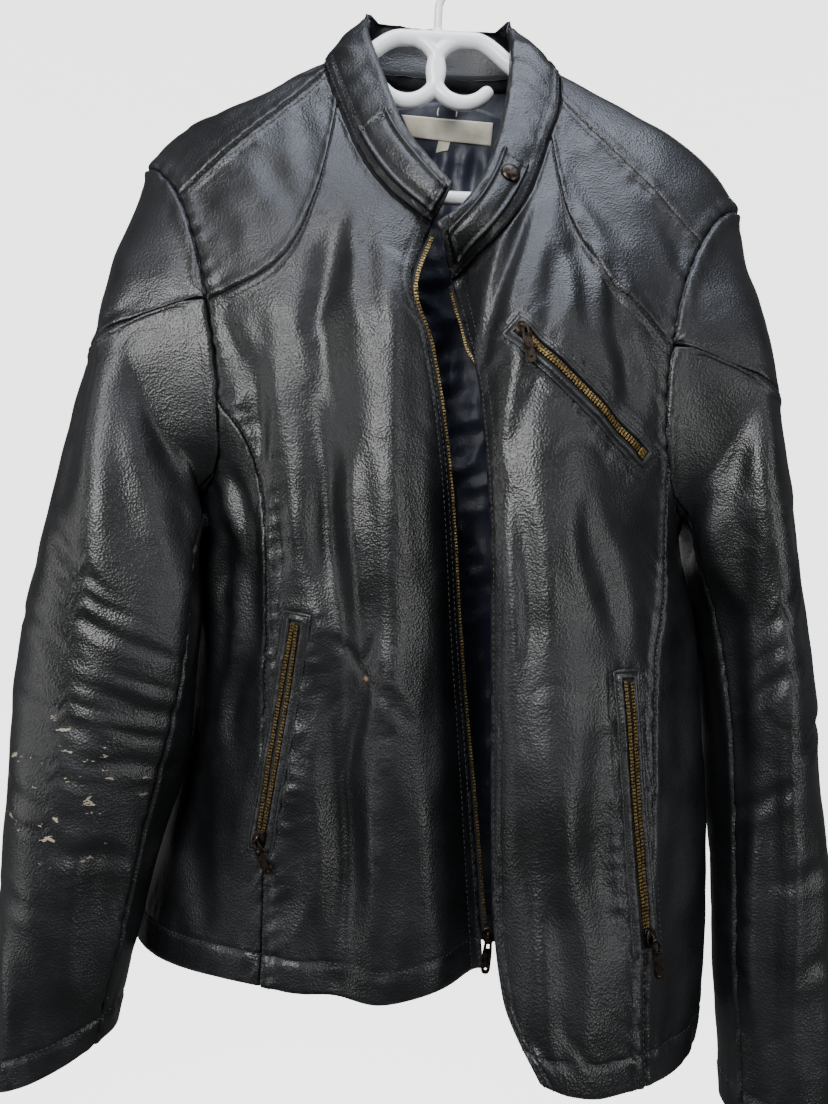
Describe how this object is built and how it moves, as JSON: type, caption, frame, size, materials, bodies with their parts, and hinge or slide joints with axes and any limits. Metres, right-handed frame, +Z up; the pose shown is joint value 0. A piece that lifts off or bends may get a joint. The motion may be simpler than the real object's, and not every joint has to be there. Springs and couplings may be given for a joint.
{
  "type": "leather jacket on coat hanger",
  "caption": "Black leather jacket with a stand collar, open front zip and three zipped pockets, hanging on a white moulded coat hanger.",
  "frame": {"origin": "where the inside of the hanger hook rests on its rail", "axes": "+Z up, the front faces -Y, +X is the wearer's left"},
  "size_m": [0.6269, 0.2338, 0.9126],
  "materials": {
    "leather": "pebbled, soft sheen, worn at the edges",
    "zip_tape": "woven",
    "dark_metal": "oxidised, dark",
    "satin": "satin",
    "label_cloth": "woven, bare",
    "white_plastic": "moulded, glossy"
  },
  "bodies": {
    "garment": {"front_left": "leather", "front_right": "leather", "front_yoke_left": "leather", "front_yoke_right": "leather", "side_panel_left": "leather", "side_panel_right": "leather", "sleeve_cap_left": "leather", "sleeve_cap_right": "leather", "sleeve_upper_left": "leather", "sleeve_upper_right": "leather", "sleeve_under_left": "leather", "sleeve_under_right": "leather", "back_yoke": "leather", "back_body": "leather", "collar_outer": "leather", "collar_facing": "leather", "collar_tab": "leather", "collar_channel": "leather", "pocket_left_welts": "leather", "pocket_right_welts": "leather", "pocket_chest_welts": "leather", "zip_tape_left": "zip_tape", "zip_tape_right": "zip_tape", "pocket_left_tape": "zip_tape", "pocket_right_tape": "zip_tape", "pocket_chest_tape": "zip_tape", "front_zip_slider": "dark_metal", "collar_snap": "dark_metal", "pocket_left_zip_slider": "dark_metal", "pocket_right_zip_slider": "dark_metal", "pocket_chest_zip_slider": "dark_metal", "back_lining": "satin", "neck_label": "label_cloth", "size_tag": "label_cloth", "hanger": "white_plastic"},
    "front_zip_pull": {"front_zip_pull": "dark_metal"},
    "pocket_left_zip_pull": {"pocket_left_zip_pull": "dark_metal"},
    "pocket_right_zip_pull": {"pocket_right_zip_pull": "dark_metal"},
    "pocket_chest_zip_pull": {"pocket_chest_zip_pull": "dark_metal"}
  },
  "joints": [
    {"name": "front_zip_pull_swing", "type": "hinge", "parent": "garment", "child": "front_zip_pull", "pos_m": [0.06602, -0.07164, -0.76391], "axis": [-0.9976, 0, 0.0698], "range_deg": [0, 100]},
    {"name": "pocket_left_zip_pull_swing", "type": "hinge", "parent": "garment", "child": "pocket_left_zip_pull", "pos_m": [-0.10285, -0.08256, -0.69879], "axis": [-0.8829, 0, -0.4695], "range_deg": [0, 100]},
    {"name": "pocket_right_zip_pull_swing", "type": "hinge", "parent": "garment", "child": "pocket_right_zip_pull", "pos_m": [0.1696, -0.13064, -0.73681], "axis": [-0.9903, 0, -0.1392], "range_deg": [0, 100]},
    {"name": "pocket_chest_zip_pull_swing", "type": "hinge", "parent": "garment", "child": "pocket_chest_zip_pull", "pos_m": [0.06694, -0.1188, -0.33576], "axis": [-0.9703, 0, -0.2419], "range_deg": [0, 100]}
  ]
}
